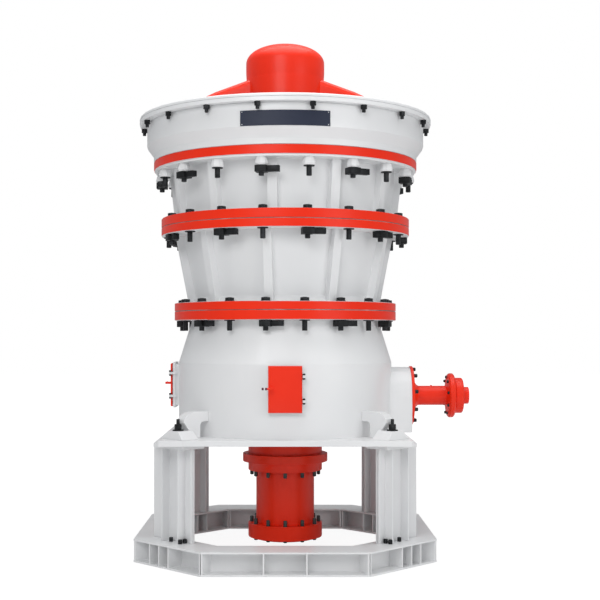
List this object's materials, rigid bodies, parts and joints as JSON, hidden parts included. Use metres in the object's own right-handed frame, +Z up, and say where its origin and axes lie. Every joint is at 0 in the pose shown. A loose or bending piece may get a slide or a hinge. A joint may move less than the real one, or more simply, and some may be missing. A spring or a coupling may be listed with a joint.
{
  "type": "gyratory crusher",
  "caption": "Gyratory rock crusher on an octagonal beam base: bolted ribbed shells, two-armed spider, side drive, hinged inspection doors and a hydraulic cylinder below.",
  "frame": {"origin": "centre of the plan outline, on the floor under the base beams; the crusher's own axis stands at x = -0.241 m", "axes": "+Z up along the crusher's axis, +X out of the drive shaft, -Y towards the front door"},
  "size_m": [4.082, 3.6, 6.25],
  "materials": {
    "white_paint": "satin",
    "red_paint": "satin",
    "worn_steel": "worn"
  },
  "bodies": {
    "machine": {"base_beam_front": "white_paint", "base_beam_front_left": "white_paint", "base_beam_front_right": "white_paint", "base_beam_left": "white_paint", "base_beam_rear": "white_paint", "base_beam_rear_left": "white_paint", "base_beam_rear_right": "white_paint", "base_beam_right": "white_paint", "bed_plate": "white_paint", "concave_lower": "worn_steel", "concave_upper": "worn_steel", "corner_bracket_front_left": "white_paint", "corner_bracket_front_right": "white_paint", "corner_bracket_rear_left": "white_paint", "corner_bracket_rear_right": "white_paint", "cylinder_barrel": "red_paint", "cylinder_base": "red_paint", "cylinder_body": "red_paint", "door_frame_front": "white_paint", "door_frame_left": "white_paint", "door_frame_rear": "white_paint", "drive_cover": "red_paint", "drive_housing": "red_paint", "eccentric": "worn_steel", "leg_front_left": "white_paint", "leg_front_right": "white_paint", "leg_rear_left": "white_paint", "leg_rear_right": "white_paint", "low_joint_ring_bottom": "red_paint", "low_joint_ring_top": "red_paint", "lower_middle_frame": "white_paint", "lower_shell": "white_paint", "main_shaft": "worn_steel", "mantle": "worn_steel", "mantle_nut": "worn_steel", "mid_joint_ring_bottom": "red_paint", "mid_joint_ring_top": "red_paint", "rim_flange_lower": "white_paint", "rim_flange_upper": "white_paint", "spider": "red_paint", "spider_cap": "red_paint", "top_frame": "white_paint", "top_joint_ring": "red_paint", "upper_middle_frame": "white_paint"},
    "front_door": {"door_front": "red_paint"},
    "left_door": {"door_left": "red_paint"},
    "rear_door": {"door_rear": "red_paint"},
    "drive_rotor": {"drive_shaft": "red_paint"}
  },
  "joints": [
    {"name": "front_door_hinge", "type": "hinge", "parent": "machine", "child": "front_door", "pos_m": [-0.029, -1.413, 2.04], "axis": [0, 0, 1], "range_deg": [0, 110]},
    {"name": "left_door_hinge", "type": "hinge", "parent": "machine", "child": "left_door", "pos_m": [-1.654, -0.212, 2.04], "axis": [0, 0, 1], "range_deg": [0, 110]},
    {"name": "rear_door_hinge", "type": "hinge", "parent": "machine", "child": "rear_door", "pos_m": [-0.453, 1.413, 2.04], "axis": [0, 0, 1], "range_deg": [0, 110]},
    {"name": "drive_shaft_turn", "type": "hinge", "parent": "machine", "child": "drive_rotor", "pos_m": [1.964, 0, 1.895], "axis": [1, 0, 0], "continuous": true}
  ]
}
